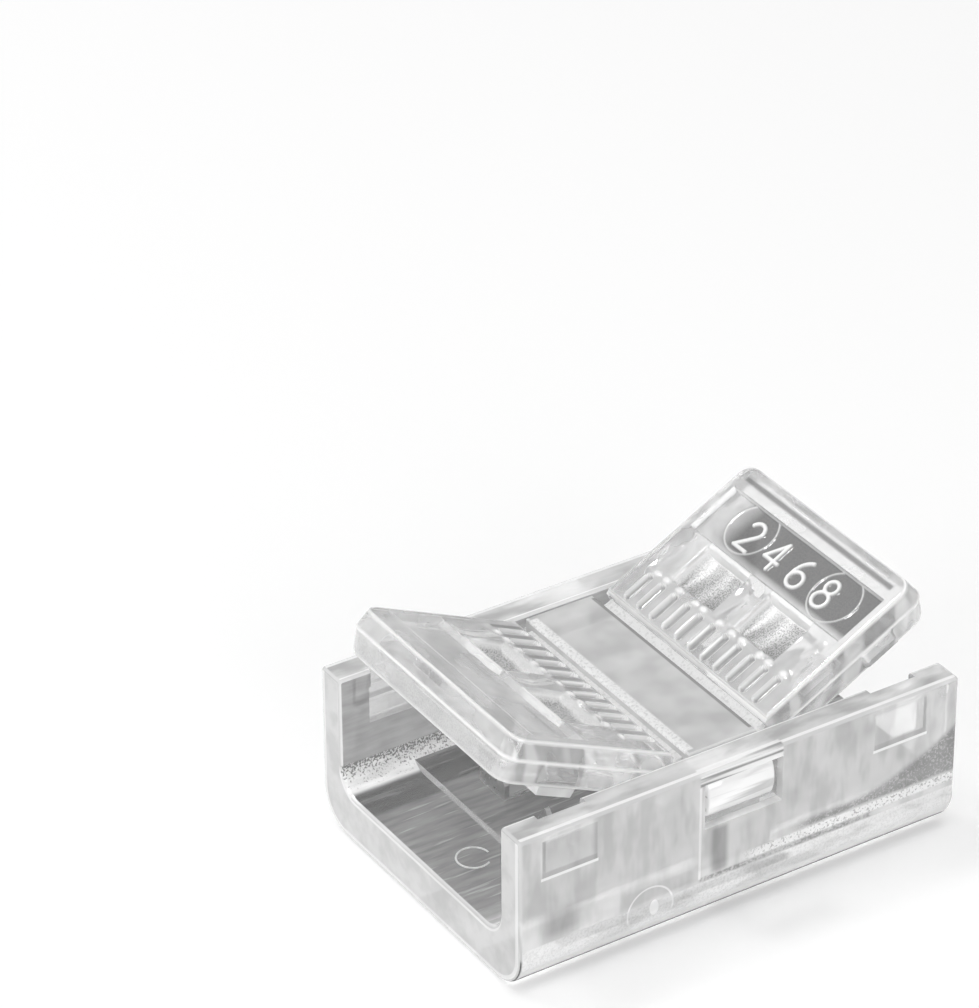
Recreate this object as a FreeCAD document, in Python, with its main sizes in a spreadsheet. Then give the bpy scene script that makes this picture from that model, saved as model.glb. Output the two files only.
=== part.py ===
import FreeCAD, Part
import math
import os
import re
import Sketcher

# Solderless connector for two 10 mm light strips, butted end to end.
# Origin at the centre of the tray's underside, +X along the strips, +Z up.
# All sizes are millimetres, apart from the opening angles, which are degrees.

SIZES = {
    # tray
    "base_length": 18.6,
    "base_width": 13.0,
    "base_height": 6.5,
    "side_wall": 1.25,
    "floor_thick": 1.9,
    "outer_corner": 1.5,
    "inner_corner": 0.95,
    "rim_round": 0.16,
    "platform_length": 12.7,
    "platform_rise": 0.3,
    "window_length": 3.3,
    "window_height": 1.87,
    "lip_height": 0.5,
    # catches near the tray's ends
    "catch_centre": 7.0,
    "catch_length": 2.1,
    "catch_depth": 0.4,
    "catch_drop": 0.7,
    "catch_height": 1.5,
    "lead_length": 1.95,
    "lead_top": 0.36,
    "lead_low": 0.16,
    # cover
    "cover_length": 2.88,
    "cover_side_gap": 0.08,
    "cover_top_gap": 0.05,
    "plate_thick": 1.3,
    "plate_round": 0.1,
    "leg_thick": 0.82,
    "leg_foot_gap": 0.05,
    "leg_clearance": 0.15,
    "leg_root_round": 0.4,
    "lug_gap": 0.06,
    "lug_reach": 0.7,
    "lug_land": 0.55,
    "lug_round": 0.2,
    # flaps
    "flap_length": 7.35,
    "flap_thick": 1.75,
    "flap_side_gap": 0.13,
    "parting_depth": 0.75,
    "top_inset": 0.15,
    "bottom_inset": 0.2,
    "hinge_bevel": 0.15,
    "corner_cut": 0.45,
    "flap_round": 0.12,
    "panel_start": 3.9,
    "panel_length": 2.25,
    "panel_margin": 0.4,
    "panel_depth": 0.25,
    "press_start": 1.95,
    "press_length": 1.75,
    "press_width": 2.5,
    "press_centre": 1.9,
    "press_core": 0.5,
    "press_height": 1.2,
    "comb_start": 0.25,
    "comb_length": 1.35,
    "comb_groove": 0.4,
    "comb_pitch": 0.8,
    "comb_count": 11,
    "comb_depth": 0.25,
    "snap_length": 1.5,
    "snap_reach": 0.24,
    "snap_height": 0.8,
    "snap_land": 0.2,
    "snap_rise": 0.4,
    # living hinges
    "hinge_stub": 0.31,
    "hinge_gap": 0.35,
    "hinge_drop": 0.45,
    "film_thick": 0.24,
    "film_inset": 0.35,
    "film_clearance": 0.01,
    "left_open_angle": 25.0,
    "right_open_angle": 28.0,
    # contacts
    "contact_length": 10.0,
    "contact_width": 1.6,
    "contact_thick": 0.2,
    "contact_rise": 1.3,
    "contact_seat": 0.15,
    "seat_gap": 0.05,
    "tooth_depth": 0.6,
    "tooth_tip": 0.08,
}

# Lengths worked out from the driving sizes, each bound to them in the sheet.
DERIVED = {
    "inner_half": "base_width / 2 - side_wall",
    "platform_top": "floor_thick + platform_rise",
    "window_top": "base_height - lip_height",
    "window_sill": "window_top - window_height",
    "catch_top": "base_height - catch_drop",
    "catch_sill": "catch_top - catch_height",
    "cover_half": "inner_half - cover_side_gap",
    "cover_top": "base_height - cover_top_gap",
    "leg_inner": "cover_half - leg_thick",
    "leg_foot": "floor_thick + leg_foot_gap",
    "lug_top": "window_top - lug_gap",
    "lug_foot": "window_sill + lug_gap",
    "hinge_across": "cover_length / 2 + hinge_stub",
    "hinge_up": "cover_top - hinge_drop",
    "flap_half": "inner_half - flap_side_gap",
    "flap_end": "hinge_gap + flap_length",
    "flap_under": "hinge_drop - flap_thick",
    "parting": "hinge_drop - parting_depth",
    "press_from": "hinge_gap + press_start",
    "press_to": "press_from + press_length",
    "panel_from": "hinge_gap + panel_start",
    "panel_to": "panel_from + panel_length",
    "comb_from": "hinge_gap + comb_start",
    "comb_to": "comb_from + comb_length",
    "snap_across": "catch_centre - hinge_across",
    "film_half": "flap_half - film_inset",
    "contact_foot": "platform_top - contact_seat",
    "contact_top": "contact_foot + contact_rise",
}

os.makedirs("parts", exist_ok=True)
doc = FreeCAD.newDocument("strip_connector")
sheet = doc.addObject("Spreadsheet::Sheet", "sizes")


def bound(text):
    """Write each size's name in an expression as a reference to the sheet."""
    known = set(SIZES) | set(DERIVED)
    return re.sub(r"[a-z_]+", lambda word: "sizes." + word[0] if word[0] in known else word[0], text)


def fill_sheet():
    row = 1
    for name, value in SIZES.items():
        sheet.set("A%d" % row, name)
        sheet.set("B%d" % row, str(value))
        sheet.setAlias("B%d" % row, name)
        row += 1
    for name, rule in DERIVED.items():
        sheet.set("A%d" % row, name)
        sheet.set("B%d" % row, "=" + rule)
        sheet.setAlias("B%d" % row, name)
        row += 1
    doc.recompute()


def size(name):
    return float(sheet.get(name))


def new_body(label):
    body = doc.addObject("PartDesign::Body", label)
    body.Label = label
    return body


def new_sketch(body, role, name, offset=None):
    """A sketch on one of the body's own origin planes, moved along its normal by offset."""
    plane = [item for item in body.Origin.OriginFeatures if item.Role == role][0]
    sketch = body.newObject("Sketcher::SketchObject", body.Name + "_" + name)
    sketch.AttachmentSupport = [(plane, "")]
    sketch.MapMode = "FlatFace"
    if offset:
        sketch.setExpression("AttachmentOffset.Base.z", bound(offset))
    return sketch


def fix_point(sketch, geometry, end, across, up):
    """Hold one end of a line at a place given by two expressions."""
    for kind, text in (("DistanceX", across), ("DistanceY", up)):
        index = sketch.addConstraint(Sketcher.Constraint(kind, -1, 1, geometry, end, 1.0))
        sketch.setExpression("Constraints[%d]" % index, bound(text))


def polygon(sketch, corners):
    """A closed outline. It starts on a unit circle, and the constraints carry it to its place."""
    count = len(corners)
    spots = []
    for step in range(count):
        turn = 2 * math.pi * step / count
        spots.append(FreeCAD.Vector(math.cos(turn), math.sin(turn), 0))
    first = sketch.GeometryCount
    for step in range(count):
        sketch.addGeometry(Part.LineSegment(spots[step], spots[(step + 1) % count]), False)
    for step in range(count):
        after = first + (step + 1) % count
        sketch.addConstraint(Sketcher.Constraint("Coincident", first + step, 2, after, 1))
        fix_point(sketch, first + step, 1, corners[step][0], corners[step][1])


def rectangle(sketch, low_across, high_across, low_up, high_up):
    polygon(sketch, [(low_across, low_up), (high_across, low_up), (high_across, high_up), (low_across, high_up)])


def both_sides(points):
    """Repeat the points of the +Y half, mirrored and in reverse order, to close a symmetric section."""
    mirrored = [("-(" + across + ")", up) for across, up in reversed(points)]
    return points + mirrored


def extrude(kind, sketch, name, length, symmetric, reverse=False):
    """A pad or pocket of the given length: symmetric about the sketch, or to one side of it."""
    body = sketch.getParentGeoFeatureGroup()
    feature = body.newObject("PartDesign::" + kind, body.Name + "_" + name)
    feature.Profile = sketch
    feature.setExpression("Length", bound(length))
    if symmetric:
        feature.SideType = "Symmetric"
    feature.Reversed = reverse
    doc.recompute()
    return feature


def pad(sketch, name, length, symmetric=True, reverse=False):
    return extrude("Pad", sketch, name, length, symmetric, reverse)


def pocket(sketch, name, length, symmetric=True):
    body = sketch.getParentGeoFeatureGroup()
    before = body.Shape.Volume
    feature = extrude("Pocket", sketch, name, length, symmetric)
    if body.Shape.Volume >= before:
        raise RuntimeError(name + " cuts nothing")
    return feature


def round_edges(body, name, radius, chosen):
    """Fillet the edges of the body's last shape for which chosen(edge) is true."""
    base = body.Tip
    names = ["Edge%d" % (i + 1) for i, edge in enumerate(base.Shape.Edges) if chosen(edge)]
    if not names:
        raise RuntimeError(name + " finds no edge")
    feature = body.newObject("PartDesign::Fillet", body.Name + "_" + name)
    feature.Base = (base, names)
    feature.setExpression("Radius", bound(radius))
    doc.recompute()
    return feature


def near(value, target):
    return abs(value - target) < 1e-4


def spans(edge, axis):
    """How far an edge reaches along one axis: its lowest and highest coordinate."""
    box = edge.BoundBox
    return {"x": (box.XMin, box.XMax), "y": (box.YMin, box.YMax), "z": (box.ZMin, box.ZMax)}[axis]


def lies_at(edge, axis, target):
    low, high = spans(edge, axis)
    return near(low, target) and near(high, target)


def make_base_tray():
    body = new_body("base_tray")
    section = new_sketch(body, "YZ_Plane", "section")
    polygon(section, both_sides([
        ("base_width / 2", "0"),
        ("base_width / 2", "base_height"),
        ("inner_half", "base_height"),
        ("inner_half", "floor_thick"),
    ]))
    pad(section, "channel", "base_length")
    outer = size("base_width") / 2
    inner = size("inner_half")
    half_length = size("base_length") / 2

    def under_corner(edge):
        return lies_at(edge, "z", 0) and (lies_at(edge, "y", outer) or lies_at(edge, "y", -outer))

    def floor_corner(edge):
        at_wall = lies_at(edge, "y", inner) or lies_at(edge, "y", -inner)
        return at_wall and lies_at(edge, "z", size("floor_thick"))

    def rim(edge):
        at_top = lies_at(edge, "z", size("base_height")) and not near(*spans(edge, "x"))
        at_end = lies_at(edge, "x", half_length) or lies_at(edge, "x", -half_length)
        return at_top or at_end

    round_edges(body, "outer_corners", "outer_corner", under_corner)
    round_edges(body, "inner_corners", "inner_corner", floor_corner)
    round_edges(body, "rim", "rim_round", rim)

    platform = new_sketch(body, "XZ_Plane", "platform_side")
    rectangle(platform, "-platform_length / 2", "platform_length / 2", "floor_thick / 2", "platform_top")
    pad(platform, "platform", "2 * inner_half + side_wall")

    recess = new_sketch(body, "XY_Plane", "leg_recess_plan", "platform_top + inner_corner")
    for sign in ("", "-"):
        polygon(recess, [
            ("-cover_length / 2 - leg_clearance", sign + "(leg_inner - leg_clearance)"),
            ("cover_length / 2 + leg_clearance", sign + "(leg_inner - leg_clearance)"),
            ("cover_length / 2 + leg_clearance", sign + "(inner_half)"),
            ("-cover_length / 2 - leg_clearance", sign + "(inner_half)"),
        ])
    pocket(recess, "leg_recesses", "platform_rise + inner_corner", symmetric=False)

    seats = new_sketch(body, "XY_Plane", "contact_seat_plan", "platform_top")
    for sign in ("", "-"):
        polygon(seats, [
            ("-contact_length / 2 - seat_gap", sign + "(press_centre - contact_width / 2 - seat_gap)"),
            ("contact_length / 2 + seat_gap", sign + "(press_centre - contact_width / 2 - seat_gap)"),
            ("contact_length / 2 + seat_gap", sign + "(press_centre + contact_width / 2 + seat_gap)"),
            ("-contact_length / 2 - seat_gap", sign + "(press_centre + contact_width / 2 + seat_gap)"),
        ])
    pocket(seats, "contact_seats", "contact_seat", symmetric=False)

    window = new_sketch(body, "XZ_Plane", "window_side")
    rectangle(window, "-window_length / 2", "window_length / 2", "window_sill", "window_top")
    pocket(window, "windows", "base_width + side_wall")

    catches = new_sketch(body, "XZ_Plane", "catch_side")
    for sign in ("", "-"):
        polygon(catches, [
            (sign + "(catch_centre - catch_length / 2)", "catch_sill"),
            (sign + "(catch_centre + catch_length / 2)", "catch_sill"),
            (sign + "(catch_centre + catch_length / 2)", "catch_top"),
            (sign + "(catch_centre - catch_length / 2)", "catch_top"),
        ])
    pocket(catches, "catches", "2 * (inner_half + catch_depth)")

    for side, sign in (("right", ""), ("left", "-")):
        lead = new_sketch(body, "YZ_Plane", side + "_lead_section", sign + "catch_centre")
        polygon(lead, both_sides([
            ("inner_half + lead_low", "catch_top - catch_height / 2"),
            ("inner_half + lead_low", "catch_top"),
            ("inner_half + lead_top", "base_height"),
            ("inner_half + lead_top", "base_height + lip_height"),
        ]))
        pocket(lead, side + "_lead_ins", "lead_length")
    return body


def make_bridge_cover():
    body = new_body("bridge_cover")
    section = new_sketch(body, "YZ_Plane", "section")
    polygon(section, both_sides([
        ("leg_inner", "cover_top - plate_thick"),
        ("leg_inner", "leg_foot"),
        ("cover_half", "leg_foot"),
        ("cover_half", "lug_foot"),
        ("cover_half + lug_reach", "lug_top - lug_land"),
        ("cover_half + lug_reach", "lug_top"),
        ("cover_half", "lug_top"),
        ("cover_half", "cover_top"),
    ]))
    pad(section, "bridge", "cover_length")
    nose = size("cover_half") + size("lug_reach")
    under = size("cover_top") - size("plate_thick")

    def lug_nose(edge):
        return lies_at(edge, "y", nose) or lies_at(edge, "y", -nose)

    def along(edge):
        return not near(*spans(edge, "x"))

    def leg_root(edge):
        return along(edge) and lies_at(edge, "z", under)

    def plate_rim(edge):
        at_top = lies_at(edge, "z", size("cover_top"))
        at_foot = lies_at(edge, "z", size("leg_foot"))
        return at_top or at_foot

    round_edges(body, "lug_noses", "lug_round", lambda edge: lug_nose(edge) and along(edge))
    round_edges(body, "leg_roots", "leg_root_round", leg_root)
    round_edges(body, "plate_rim", "plate_round", plate_rim)
    return body


def make_flap(side, sign, open_angle):
    """One flap, drawn shut about its hinge line and swung up by open_angle."""
    body = new_body(side + "_flap")

    def out(text):
        return sign + "(" + text + ")"

    section = new_sketch(body, "YZ_Plane", "section", out("(hinge_gap + flap_end) / 2"))
    polygon(section, both_sides([
        ("flap_half - bottom_inset", "flap_under"),
        ("flap_half", "parting"),
        ("flap_half - top_inset", "hinge_drop"),
    ]))
    pad(section, "slab", "flap_length")

    bevels = new_sketch(body, "XZ_Plane", "bevel_side")
    polygon(bevels, [
        (out("flap_end"), "parting"),
        (out("flap_end + top_inset"), "hinge_drop + top_inset"),
        (out("flap_end - top_inset"), "hinge_drop + top_inset"),
        (out("flap_end - top_inset"), "hinge_drop"),
    ])
    polygon(bevels, [
        (out("hinge_gap - hinge_bevel"), "hinge_drop - 2 * hinge_bevel"),
        (out("hinge_gap + 2 * hinge_bevel"), "hinge_drop + hinge_bevel"),
        (out("hinge_gap - hinge_bevel"), "hinge_drop + hinge_bevel"),
    ])
    pocket(bevels, "upper_bevels", "4 * flap_half")
    lower = new_sketch(body, "XZ_Plane", "lower_bevel_side")
    polygon(lower, [
        (out("flap_end"), "parting"),
        (out("flap_end - bottom_inset"), "flap_under"),
        (out("flap_end - bottom_inset"), "flap_under - bottom_inset"),
        (out("flap_end + bottom_inset"), "flap_under - bottom_inset"),
    ])
    pocket(lower, "lower_bevel", "4 * flap_half")

    corners = new_sketch(body, "XY_Plane", "corner_plan")
    for half in ("", "-"):
        polygon(corners, [
            (out("flap_end - corner_cut"), half + "(flap_half)"),
            (out("flap_end"), half + "(flap_half - corner_cut)"),
            (out("flap_end + corner_cut"), half + "(flap_half + corner_cut)"),
        ])
    pocket(corners, "corner_cuts", "4 * flap_thick")

    end = size("flap_end") * (1 if sign == "" else -1)

    def rim(edge):
        middle = edge.CenterOfMass
        at_face = lies_at(edge, "z", size("hinge_drop")) or lies_at(edge, "z", size("flap_under"))
        at_corner = abs(middle.x - end) < size("corner_cut") and not near(*spans(edge, "z"))
        hinge_side = abs(middle.x) < size("hinge_gap") + 3 * size("hinge_bevel")
        return (at_face or at_corner) and not hinge_side

    round_edges(body, "rim", "flap_round", rim)

    cores = new_sketch(body, "XY_Plane", "core_plan", "hinge_drop")
    posts = new_sketch(body, "XY_Plane", "post_plan", "flap_under")
    for drawing in (cores, posts):
        for half in ("", "-"):
            polygon(drawing, [
                (out("press_from"), half + "(press_centre - press_width / 2)"),
                (out("press_to"), half + "(press_centre - press_width / 2)"),
                (out("press_to"), half + "(press_centre + press_width / 2)"),
                (out("press_from"), half + "(press_centre + press_width / 2)"),
            ])
    pad(posts, "press_posts", "press_height", symmetric=False, reverse=True)
    pocket(cores, "press_cores", "press_core", symmetric=False)

    panel = new_sketch(body, "XY_Plane", "panel_plan", "hinge_drop")
    rectangle(panel, out("panel_from"), out("panel_to"),
              "-(flap_half - top_inset - panel_margin)", "flap_half - top_inset - panel_margin")
    pocket(panel, "panel", "panel_depth", symmetric=False)

    snaps = new_sketch(body, "YZ_Plane", "snap_section", out("snap_across"))
    polygon(snaps, both_sides([
        ("flap_half - bottom_inset", "parting - snap_rise - snap_height / 2"),
        ("flap_half + snap_reach", "parting - snap_rise - snap_land / 2"),
        ("flap_half + snap_reach", "parting - snap_rise + snap_land / 2"),
        ("flap_half - bottom_inset", "parting - snap_rise + snap_height / 2"),
    ]))
    pad(snaps, "snaps", "snap_length")

    comb = new_sketch(body, "XY_Plane", "comb_plan", "hinge_drop")
    first = "(comb_count - 1) * comb_pitch / 2"
    rectangle(comb, out("comb_from"), out("comb_to"), "-%s - comb_groove / 2" % first, "-%s + comb_groove / 2" % first)
    groove = pocket(comb, "comb_groove", "comb_depth", symmetric=False)
    pattern = body.newObject("PartDesign::LinearPattern", body.Name + "_comb")
    pattern.Originals = [groove]
    pattern.Direction = (comb, ["V_Axis"])
    pattern.Mode = "Spacing"
    pattern.setExpression("Offset", bound("comb_pitch"))
    pattern.setExpression("Occurrences", bound("comb_count"))
    body.Tip = pattern
    doc.recompute()

    body.Placement = FreeCAD.Placement(FreeCAD.Vector(0, 0, 0), FreeCAD.Rotation(FreeCAD.Vector(0, 1, 0), 1))
    turn = "-" if sign == "" else ""
    body.setExpression("Placement.Base.x", bound(out("hinge_across")))
    body.setExpression("Placement.Base.z", bound("hinge_up"))
    body.setExpression("Placement.Rotation.Angle", bound(turn + open_angle + " * 1 deg"))
    return body


def make_hinge_film(side, sign, open_angle):
    """The thin web between plate and flap, bent to the flap's resting angle."""
    body = new_body(side + "_hinge_film")
    half = "(film_thick / 2)"
    angle = "(%s * 1 deg)" % open_angle
    reach = "(hinge_gap - film_clearance)"

    def out(text):
        return sign + "(" + text + ")"

    side_view = new_sketch(body, "XZ_Plane", "side")
    polygon(side_view, [
        (out("-hinge_stub"), "-" + half),
        (out("%s * tan(%s / 2)" % (half, angle)), "-" + half),
        (out("%s * cos(%s) + %s * sin(%s)" % (reach, angle, half, angle)),
         "%s * sin(%s) - %s * cos(%s)" % (reach, angle, half, angle)),
        (out("%s * cos(%s) - %s * sin(%s)" % (reach, angle, half, angle)),
         "%s * sin(%s) + %s * cos(%s)" % (reach, angle, half, angle)),
        (out("-%s * tan(%s / 2)" % (half, angle)), half),
        (out("-hinge_stub"), half),
    ])
    pad(side_view, "web", "2 * film_half")
    body.setExpression("Placement.Base.x", bound(out("hinge_across")))
    body.setExpression("Placement.Base.z", bound("hinge_up"))
    return body


def make_contact(side, sign):
    """A flat strip with both ends turned up and cut into two piercing teeth."""
    body = new_body(side + "_contact_strip")
    profile = new_sketch(body, "XZ_Plane", "profile")
    polygon(profile, both_sides([
        ("contact_length / 2", "contact_foot"),
        ("contact_length / 2", "contact_top"),
        ("contact_length / 2 - contact_thick", "contact_top"),
        ("contact_length / 2 - contact_thick", "contact_foot + contact_thick"),
    ]))
    pad(profile, "strip", "contact_width")
    teeth = new_sketch(body, "YZ_Plane", "tooth_gaps")
    polygon(teeth, [
        ("-contact_width / 4 + tooth_tip / 2", "contact_top"),
        ("0", "contact_top - tooth_depth"),
        ("contact_width / 4 - tooth_tip / 2", "contact_top"),
    ])
    for half in ("", "-"):
        polygon(teeth, [
            (half + "(contact_width / 4 + tooth_tip / 2)", "contact_top"),
            (half + "(contact_width / 2)", "contact_top - tooth_depth"),
            (half + "(contact_width / 2)", "contact_top"),
        ])
    pocket(teeth, "teeth", "2 * contact_length")
    body.setExpression("Placement.Base.y", bound(sign + "press_centre"))
    return body


def check(bodies):
    doc.recompute()
    for item in doc.Objects:
        if "Invalid" in item.State or "Error" in item.State:
            raise RuntimeError(item.Name + " failed")
    for body in bodies:
        shape = body.Shape
        if shape.isNull() or not shape.isValid() or len(shape.Solids) != 1:
            raise RuntimeError(body.Label + " is not one valid solid")


fill_sheet()
bodies = [make_base_tray(), make_bridge_cover()]
for side, sign in (("left", "-"), ("right", "")):
    bodies.append(make_flap(side, sign, side + "_open_angle"))
    bodies.append(make_hinge_film(side, sign, side + "_open_angle"))
for side, sign in (("near", "-"), ("far", "")):
    bodies.append(make_contact(side, sign))
check(bodies)
for body in bodies:
    body.Shape.exportStep("parts/" + body.Label + ".step")
    print(body.Label, round(body.Shape.Volume, 3), "mm3")
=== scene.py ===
import bpy
import math
import numpy as np
from mathutils import Matrix, Vector


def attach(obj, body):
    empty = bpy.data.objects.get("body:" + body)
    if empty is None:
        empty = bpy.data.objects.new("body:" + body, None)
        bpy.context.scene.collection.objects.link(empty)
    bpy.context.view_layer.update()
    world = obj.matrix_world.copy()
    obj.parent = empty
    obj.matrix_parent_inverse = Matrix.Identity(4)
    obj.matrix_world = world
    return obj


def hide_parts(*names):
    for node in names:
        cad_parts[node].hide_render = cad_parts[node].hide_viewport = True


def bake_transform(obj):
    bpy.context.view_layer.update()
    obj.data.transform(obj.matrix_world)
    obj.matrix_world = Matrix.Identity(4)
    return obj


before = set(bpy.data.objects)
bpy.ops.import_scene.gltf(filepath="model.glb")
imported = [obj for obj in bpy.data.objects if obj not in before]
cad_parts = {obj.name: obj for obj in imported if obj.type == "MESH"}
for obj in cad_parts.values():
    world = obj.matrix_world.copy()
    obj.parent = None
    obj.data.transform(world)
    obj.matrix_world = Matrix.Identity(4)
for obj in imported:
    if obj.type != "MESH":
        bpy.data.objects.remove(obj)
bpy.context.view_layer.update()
MM = 0.001

# camera: angles in degrees, places in millimetres, focal length in pixels of the photo

AZIMUTH, ELEVATION, ROLL = -32.524, 31.798, -0.344
DISTANCE, FOCAL_PX = 180.565, 4991.0
ACROSS, UPWARD = -5.353, 11.461
PHOTO_HEIGHT, SENSOR = 1008, 36


def make_camera():
    azimuth, elevation, roll = (math.radians(x) for x in (AZIMUTH, ELEVATION, ROLL))
    back = Vector((math.sin(azimuth) * math.cos(elevation),
                   -math.cos(azimuth) * math.cos(elevation), math.sin(elevation)))
    right = (-back).cross(Vector((0, 0, 1))).normalized()
    up = right.cross(-back)
    turned = math.cos(roll) * right + math.sin(roll) * up
    upright = -math.sin(roll) * right + math.cos(roll) * up
    data = bpy.data.cameras.new("photo_camera")
    data.sensor_fit = "VERTICAL"
    data.sensor_width = SENSOR
    data.sensor_height = SENSOR
    data.lens = FOCAL_PX / PHOTO_HEIGHT * SENSOR
    data.clip_start = 0.01
    data.clip_end = 20
    camera = bpy.data.objects.new("photo_camera", data)
    place = (back * DISTANCE + turned * ACROSS + upright * UPWARD) * MM
    axes = Matrix((turned, upright, back)).transposed().to_4x4()
    camera.matrix_world = Matrix.Translation(place) @ axes
    bpy.context.scene.collection.objects.link(camera)
    bpy.context.scene.camera = camera


# node helpers

def new_material(name):
    material = bpy.data.materials.new(name)
    material.use_nodes = True
    tree = material.node_tree
    tree.nodes.clear()
    return material, tree


def add(tree, kind, **values):
    node = tree.nodes.new(kind)
    for key, value in values.items():
        setattr(node, key, value)
    return node


def feed(tree, value, socket):
    """Put a number or another node's output into a socket."""
    if isinstance(value, (int, float)):
        socket.default_value = value
    else:
        tree.links.new(value, socket)


def calc(tree, operation, first, second=0.0, third=None):
    node = add(tree, "ShaderNodeMath", operation=operation)
    feed(tree, first, node.inputs[0])
    feed(tree, second, node.inputs[1])
    if third is not None:
        feed(tree, third, node.inputs[2])
    return node.outputs[0]


def size(tree, value):
    return calc(tree, "ABSOLUTE", value)


def scaled(tree, value, factor, start):
    """value times factor, plus start."""
    return calc(tree, "MULTIPLY_ADD", value, factor, start)


def both(tree, *masks):
    """1 where every mask is 1."""
    result = masks[0]
    for mask in masks[1:]:
        result = calc(tree, "MULTIPLY", result, mask)
    return result


def either(tree, *masks):
    """The largest of some masks."""
    result = masks[0]
    for mask in masks[1:]:
        result = calc(tree, "MAXIMUM", result, mask)
    return result


def ramp(tree, value, low, high, start=0.0, end=1.0):
    """Smooth step of value from start, at low, to end, at high."""
    node = add(tree, "ShaderNodeMapRange", interpolation_type="SMOOTHSTEP")
    feed(tree, value, node.inputs["Value"])
    for name, number in (("From Min", low), ("From Max", high), ("To Min", start), ("To Max", end)):
        feed(tree, number, node.inputs[name])
    return node.outputs["Result"]


def below(tree, value, low, high):
    """1 below low, 0 above high."""
    return ramp(tree, value, low, high, 1.0, 0.0)


def between(tree, value, low, high, soft):
    """1 from low to high, falling off over soft on each side."""
    return both(tree, ramp(tree, value, low - soft, low), below(tree, value, high, high + soft))


def patch(tree, u, v, span_u, span_v):
    """1 inside a rectangle. Each span is low, high and soft."""
    return both(tree, between(tree, u, *span_u), between(tree, v, *span_v))


def distance(tree, u, v):
    return calc(tree, "SQRT", calc(tree, "ADD", both(tree, u, u), both(tree, v, v)))


def ring_line(tree, u, v, centre, radius, width):
    """1 on a circle's line."""
    across = calc(tree, "SUBTRACT", u, centre[0])
    up = calc(tree, "SUBTRACT", v, centre[1])
    away = size(tree, calc(tree, "SUBTRACT", distance(tree, across, up), radius))
    return below(tree, away, 0.5 * width, 0.5 * width + 0.04)


def corner_reach(tree, y, z, half, foot, radius):
    """How far a point is from the middle of a rounded channel's corner, less the radius."""
    wide = either(tree, calc(tree, "SUBTRACT", size(tree, y), half - radius), 0.0)
    deep = either(tree, calc(tree, "SUBTRACT", foot + radius, z), 0.0)
    return calc(tree, "SUBTRACT", distance(tree, wide, deep), radius)


def blend(tree, factor, low, high):
    node = add(tree, "ShaderNodeMix", data_type="FLOAT")
    feed(tree, factor, node.inputs["Factor"])
    feed(tree, low, node.inputs["A"])
    feed(tree, high, node.inputs["B"])
    return node.outputs["Result"]


def layered(tree, base, *coats):
    """Lay each coat, a mask and a value, over what is below it."""
    for mask, value in coats:
        base = blend(tree, mask, base, value)
    return base


def split(tree, vector):
    node = add(tree, "ShaderNodeSeparateXYZ")
    tree.links.new(vector, node.inputs[0])
    return node.outputs


def place_mm(tree):
    """Object coordinates in millimetres."""
    node = add(tree, "ShaderNodeVectorMath", operation="SCALE")
    tree.links.new(add(tree, "ShaderNodeTexCoord").outputs["Object"], node.inputs[0])
    node.inputs["Scale"].default_value = 1000.0
    return node.outputs[0]


def noise(tree, place, scale, detail=2.0, stretch=(1, 1, 1)):
    mapping = add(tree, "ShaderNodeMapping")
    mapping.inputs["Scale"].default_value = tuple(scale * x for x in stretch)
    tree.links.new(place, mapping.inputs["Vector"])
    node = add(tree, "ShaderNodeTexNoise")
    node.inputs["Scale"].default_value = 1.0
    node.inputs["Detail"].default_value = detail
    tree.links.new(mapping.outputs[0], node.inputs["Vector"])
    return node.outputs["Fac"]


def grey(tree, value):
    node = add(tree, "ShaderNodeCombineColor")
    for name in ("Red", "Green", "Blue"):
        feed(tree, value, node.inputs[name])
    return node.outputs[0]


def bump(tree, height, depth, strength):
    node = add(tree, "ShaderNodeBump")
    node.inputs["Strength"].default_value = strength
    node.inputs["Distance"].default_value = depth
    tree.links.new(height, node.inputs["Height"])
    return node.outputs[0]


def edge_mask(tree, normal):
    """1 on rounded edges, where the surface faces along none of the axes."""
    parts = split(tree, normal)
    return below(tree, either(tree, *(size(tree, parts[i]) for i in range(3))), 0.90, 0.985)


PLASTIC_IOR, SHADOW_GREY = 1.58, 0.82
USUAL_GLOSS = 0.5
SHALLOW, DEEPER = 0.00001, 0.00002


def plastic(tree, tone, clear, roughness, normal, gloss=USUAL_GLOSS):
    """Clear moulded plastic. Where clear is below 1 the rest is cloudy, of the given tone."""
    body = add(tree, "ShaderNodeBsdfPrincipled")
    body.inputs["IOR"].default_value = PLASTIC_IOR
    tree.links.new(grey(tree, tone), body.inputs["Base Color"])
    feed(tree, clear, body.inputs["Transmission Weight"])
    feed(tree, roughness, body.inputs["Roughness"])
    feed(tree, gloss, body.inputs["Specular IOR Level"])
    tree.links.new(normal, body.inputs["Normal"])
    open_way = add(tree, "ShaderNodeBsdfTransparent")
    open_way.inputs["Color"].default_value = (SHADOW_GREY, SHADOW_GREY, SHADOW_GREY, 1)
    mix = add(tree, "ShaderNodeMixShader")
    tree.links.new(add(tree, "ShaderNodeLightPath").outputs["Is Shadow Ray"], mix.inputs[0])
    tree.links.new(body.outputs[0], mix.inputs[1])
    tree.links.new(open_way.outputs[0], mix.inputs[2])
    tree.links.new(mix.outputs[0], add(tree, "ShaderNodeOutputMaterial").inputs["Surface"])


# tray, in millimetres: x along the strips, y across, z up from the underside

TRAY_HALF, OUTER_CORNER = 6.5, 1.5
CHANNEL_HALF, CHANNEL_FLOOR, INNER_CORNER = 5.25, 1.8, 0.95
SLAB_TOP = 1.9
CATCH_SHIFT = 0.25

# painted shade and painted highlight standing for what shows through the near wall: each one's span along x and its
# span in z, each as low, high and soft

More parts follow.
